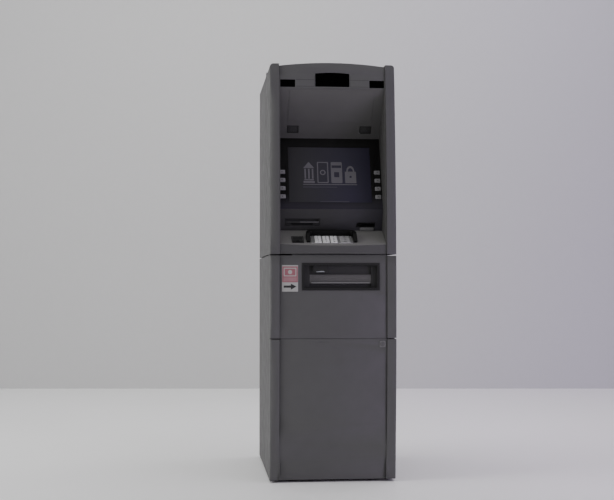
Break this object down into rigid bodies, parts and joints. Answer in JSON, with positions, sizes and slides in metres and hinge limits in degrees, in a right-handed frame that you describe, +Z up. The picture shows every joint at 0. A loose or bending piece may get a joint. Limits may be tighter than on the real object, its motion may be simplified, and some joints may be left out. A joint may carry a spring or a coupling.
{
  "type": "atm machine",
  "caption": "Slim free-standing cash machine with a bow-fronted fascia, hooded screen, keypad shelf, cash outlet and lower safe behind swinging front sections.",
  "frame": {"origin": "on the floor under the middle of the cabinet's overall box", "axes": "+Z up, the customer stands on the -Y side, +X is to the right seen from the front"},
  "size_m": [0.46, 0.7, 1.53],
  "materials": {
    "cabinet_paint": "fine textured grey powder coat",
    "fascia_plastic": "fine textured dark grey moulding",
    "liner_plastic": "fine textured dark grey moulding",
    "black_plastic": "fine textured black moulding",
    "black_acrylic": "smoked gloss windows",
    "lamp_lens": "smoked diffuser",
    "screen": "dim screen behind glass",
    "pad_steel": "fine brushed plate",
    "pad_key": "satin key caps with filled digits",
    "side_key": "light grey satin keys",
    "light_plastic": "satin grey trim",
    "shutter_plastic": "satin grey shutter",
    "zinc_steel": "zinc plated steel",
    "mechanism_steel": "plated sheet steel and rollers",
    "safe_paint": "thick grey safe enamel",
    "handle_chrome": "polished",
    "cassette_plastic": "blue-grey moulding with handle",
    "paper": "white thermal paper roll"
  },
  "bodies": {
    "cabinet": {"leveling_feet": "zinc_steel", "pedestal_shell": "cabinet_paint", "topbox_shell": "cabinet_paint", "top_cover": "cabinet_paint", "safe_body": "safe_paint", "dispenser_mechanism": "mechanism_steel", "pc_core": "zinc_steel", "power_supply": "zinc_steel", "door_hinges": "zinc_steel"},
    "fascia": {"fascia_posts": "fascia_plastic", "crown": "fascia_plastic", "crown_windows": "black_acrylic", "recess_liner": "liner_plastic", "canopy_lamps": "lamp_lens", "screen_bezel": "black_plastic", "display_panel": "screen", "mid_panel": "liner_plastic", "card_reader": "black_plastic", "receipt_printer": "black_plastic", "keypad_shelf": "fascia_plastic", "keypad_base": "pad_steel", "keypad_shield": "black_plastic", "audio_panel": "light_plastic"},
    "roll": {"paper_roll": "paper"},
    "cash_door": {"dispenser_door": "fascia_plastic", "dispenser_bezel": "black_plastic"},
    "shutter": {"dispenser_shutter": "shutter_plastic"},
    "low_door": {"lower_door": "fascia_plastic"},
    "lock_plug": {"door_lock": "zinc_steel"},
    "vault_door": {"safe_door": "safe_paint"},
    "vault_handle": {"safe_handle": "handle_chrome"},
    "vault_dial": {"combination_dial": "black_plastic"},
    "vault_bolts": {"safe_bolts": "mechanism_steel"},
    "tray_1": {"cassette_1": "cassette_plastic"},
    "tray_2": {"cassette_2": "cassette_plastic"},
    "service_door": {"rear_door": "cabinet_paint"},
    "side_key_1": {"fdk_1": "side_key"},
    "side_key_2": {"fdk_2": "side_key"},
    "side_key_3": {"fdk_3": "side_key"},
    "side_key_4": {"fdk_4": "side_key"},
    "side_key_5": {"fdk_5": "side_key"},
    "side_key_6": {"fdk_6": "side_key"},
    "side_key_7": {"fdk_7": "side_key"},
    "side_key_8": {"fdk_8": "side_key"},
    "pad_key_1": {"key_1": "pad_key"},
    "pad_key_2": {"key_2": "pad_key"},
    "pad_key_3": {"key_3": "pad_key"},
    "pad_key_4": {"key_4": "pad_key"},
    "pad_key_5": {"key_5": "pad_key"},
    "pad_key_6": {"key_6": "pad_key"},
    "pad_key_7": {"key_7": "pad_key"},
    "pad_key_8": {"key_8": "pad_key"},
    "pad_key_9": {"key_9": "pad_key"},
    "pad_key_10": {"key_10": "pad_key"},
    "pad_key_11": {"key_11": "pad_key"},
    "pad_key_12": {"key_12": "pad_key"},
    "pad_key_13": {"key_13": "pad_key"},
    "pad_key_14": {"key_14": "pad_key"},
    "pad_key_15": {"key_15": "pad_key"},
    "pad_key_16": {"key_16": "pad_key"}
  },
  "joints": [
    {"name": "fascia_swing", "type": "hinge", "parent": "cabinet", "child": "fascia", "pos_m": [-0.224, -0.078, 0.826], "axis": [0, 0, -1], "range_deg": [0, 100]},
    {"name": "paper_spin", "type": "hinge", "parent": "fascia", "child": "roll", "pos_m": [-0.112, -0.125, 1.062], "axis": [1, 0, 0], "continuous": true},
    {"name": "cash_door_swing", "type": "hinge", "parent": "cabinet", "child": "cash_door", "pos_m": [-0.224, -0.308, 0.522], "axis": [0, 0, -1], "range_deg": [0, 100]},
    {"name": "shutter_lift", "type": "slide", "parent": "cash_door", "child": "shutter", "axis": [0, 0, 1], "range_m": [0, 0.024]},
    {"name": "low_door_swing", "type": "hinge", "parent": "cabinet", "child": "low_door", "pos_m": [-0.224, -0.308, 0.01], "axis": [0, 0, -1], "range_deg": [0, 100]},
    {"name": "lock_turn", "type": "hinge", "parent": "low_door", "child": "lock_plug", "pos_m": [0.1788, -0.308, 0.5], "axis": [0, -1, 0], "range_deg": [0, 90]},
    {"name": "vault_swing", "type": "hinge", "parent": "cabinet", "child": "vault_door", "pos_m": [-0.171, -0.27, 0.044], "axis": [0, 0, -1], "range_deg": [0, 85]},
    {"name": "handle_turn", "type": "hinge", "parent": "vault_door", "child": "vault_handle", "pos_m": [0.07, -0.262, 0.27], "axis": [0, -1, 0], "range_deg": [0, 90]},
    {"name": "bolt_throw", "type": "slide", "parent": "vault_door", "child": "vault_bolts", "axis": [1, 0, 0], "range_m": [0, 0.0202]},
    {"name": "dial_spin", "type": "hinge", "parent": "vault_door", "child": "vault_dial", "pos_m": [-0.04, -0.262, 0.35], "axis": [0, -1, 0], "continuous": true},
    {"name": "tray_1_pull", "type": "slide", "parent": "cabinet", "child": "tray_1", "axis": [0, -1, 0], "range_m": [0, 0.1]},
    {"name": "tray_2_pull", "type": "slide", "parent": "cabinet", "child": "tray_2", "axis": [0, -1, 0], "range_m": [0, 0.1]},
    {"name": "service_door_swing", "type": "hinge", "parent": "cabinet", "child": "service_door", "pos_m": [0.19, 0.346, 0.872], "axis": [0, 0, -1], "range_deg": [0, 110]},
    {"name": "side_key_1_press", "type": "slide", "parent": "fascia", "child": "side_key_1", "axis": [0, 0.9449, -0.3275], "range_m": [0, 0.002], "stiffness_N_per_m": 400, "springref_m": -0.0005},
    {"name": "side_key_2_press", "type": "slide", "parent": "fascia", "child": "side_key_2", "axis": [0, 0.9449, -0.3275], "range_m": [0, 0.002], "stiffness_N_per_m": 400, "springref_m": -0.0005},
    {"name": "side_key_3_press", "type": "slide", "parent": "fascia", "child": "side_key_3", "axis": [0, 0.9449, -0.3275], "range_m": [0, 0.002], "stiffness_N_per_m": 400, "springref_m": -0.0005},
    {"name": "side_key_4_press", "type": "slide", "parent": "fascia", "child": "side_key_4", "axis": [0, 0.9449, -0.3275], "range_m": [0, 0.002], "stiffness_N_per_m": 400, "springref_m": -0.0005},
    {"name": "side_key_5_press", "type": "slide", "parent": "fascia", "child": "side_key_5", "axis": [0, 0.9449, -0.3275], "range_m": [0, 0.002], "stiffness_N_per_m": 400, "springref_m": -0.0005},
    {"name": "side_key_6_press", "type": "slide", "parent": "fascia", "child": "side_key_6", "axis": [0, 0.9449, -0.3275], "range_m": [0, 0.002], "stiffness_N_per_m": 400, "springref_m": -0.0005},
    {"name": "side_key_7_press", "type": "slide", "parent": "fascia", "child": "side_key_7", "axis": [0, 0.9449, -0.3275], "range_m": [0, 0.002], "stiffness_N_per_m": 400, "springref_m": -0.0005},
    {"name": "side_key_8_press", "type": "slide", "parent": "fascia", "child": "side_key_8", "axis": [0, 0.9449, -0.3275], "range_m": [0, 0.002], "stiffness_N_per_m": 400, "springref_m": -0.0005},
    {"name": "pad_key_1_press", "type": "slide", "parent": "fascia", "child": "pad_key_1", "axis": [0, 0.4664, -0.8846], "range_m": [0, 0.002], "stiffness_N_per_m": 400, "springref_m": -0.0005},
    {"name": "pad_key_2_press", "type": "slide", "parent": "fascia", "child": "pad_key_2", "axis": [0, 0.4664, -0.8846], "range_m": [0, 0.002], "stiffness_N_per_m": 400, "springref_m": -0.0005},
    {"name": "pad_key_3_press", "type": "slide", "parent": "fascia", "child": "pad_key_3", "axis": [0, 0.4664, -0.8846], "range_m": [0, 0.002], "stiffness_N_per_m": 400, "springref_m": -0.0005},
    {"name": "pad_key_4_press", "type": "slide", "parent": "fascia", "child": "pad_key_4", "axis": [0, 0.4664, -0.8846], "range_m": [0, 0.002], "stiffness_N_per_m": 400, "springref_m": -0.0005},
    {"name": "pad_key_5_press", "type": "slide", "parent": "fascia", "child": "pad_key_5", "axis": [0, 0.4664, -0.8846], "range_m": [0, 0.002], "stiffness_N_per_m": 400, "springref_m": -0.0005},
    {"name": "pad_key_6_press", "type": "slide", "parent": "fascia", "child": "pad_key_6", "axis": [0, 0.4664, -0.8846], "range_m": [0, 0.002], "stiffness_N_per_m": 400, "springref_m": -0.0005},
    {"name": "pad_key_7_press", "type": "slide", "parent": "fascia", "child": "pad_key_7", "axis": [0, 0.4664, -0.8846], "range_m": [0, 0.002], "stiffness_N_per_m": 400, "springref_m": -0.0005},
    {"name": "pad_key_8_press", "type": "slide", "parent": "fascia", "child": "pad_key_8", "axis": [0, 0.4664, -0.8846], "range_m": [0, 0.002], "stiffness_N_per_m": 400, "springref_m": -0.0005},
    {"name": "pad_key_9_press", "type": "slide", "parent": "fascia", "child": "pad_key_9", "axis": [0, 0.4664, -0.8846], "range_m": [0, 0.002], "stiffness_N_per_m": 400, "springref_m": -0.0005},
    {"name": "pad_key_10_press", "type": "slide", "parent": "fascia", "child": "pad_key_10", "axis": [0, 0.4664, -0.8846], "range_m": [0, 0.002], "stiffness_N_per_m": 400, "springref_m": -0.0005},
    {"name": "pad_key_11_press", "type": "slide", "parent": "fascia", "child": "pad_key_11", "axis": [0, 0.4664, -0.8846], "range_m": [0, 0.002], "stiffness_N_per_m": 400, "springref_m": -0.0005},
    {"name": "pad_key_12_press", "type": "slide", "parent": "fascia", "child": "pad_key_12", "axis": [0, 0.4664, -0.8846], "range_m": [0, 0.002], "stiffness_N_per_m": 400, "springref_m": -0.0005},
    {"name": "pad_key_13_press", "type": "slide", "parent": "fascia", "child": "pad_key_13", "axis": [0, 0.4664, -0.8846], "range_m": [0, 0.002], "stiffness_N_per_m": 400, "springref_m": -0.0005},
    {"name": "pad_key_14_press", "type": "slide", "parent": "fascia", "child": "pad_key_14", "axis": [0, 0.4664, -0.8846], "range_m": [0, 0.002], "stiffness_N_per_m": 400, "springref_m": -0.0005},
    {"name": "pad_key_15_press", "type": "slide", "parent": "fascia", "child": "pad_key_15", "axis": [0, 0.4664, -0.8846], "range_m": [0, 0.002], "stiffness_N_per_m": 400, "springref_m": -0.0005},
    {"name": "pad_key_16_press", "type": "slide", "parent": "fascia", "child": "pad_key_16", "axis": [0, 0.4664, -0.8846], "range_m": [0, 0.002], "stiffness_N_per_m": 400, "springref_m": -0.0005}
  ],
  "couplings": [
    {"joint": "vault_swing", "follows": "low_door_swing", "ratio": 0.85},
    {"joint": "bolt_throw", "follows": "handle_turn", "m_per_rad": 0.012732}
  ]
}
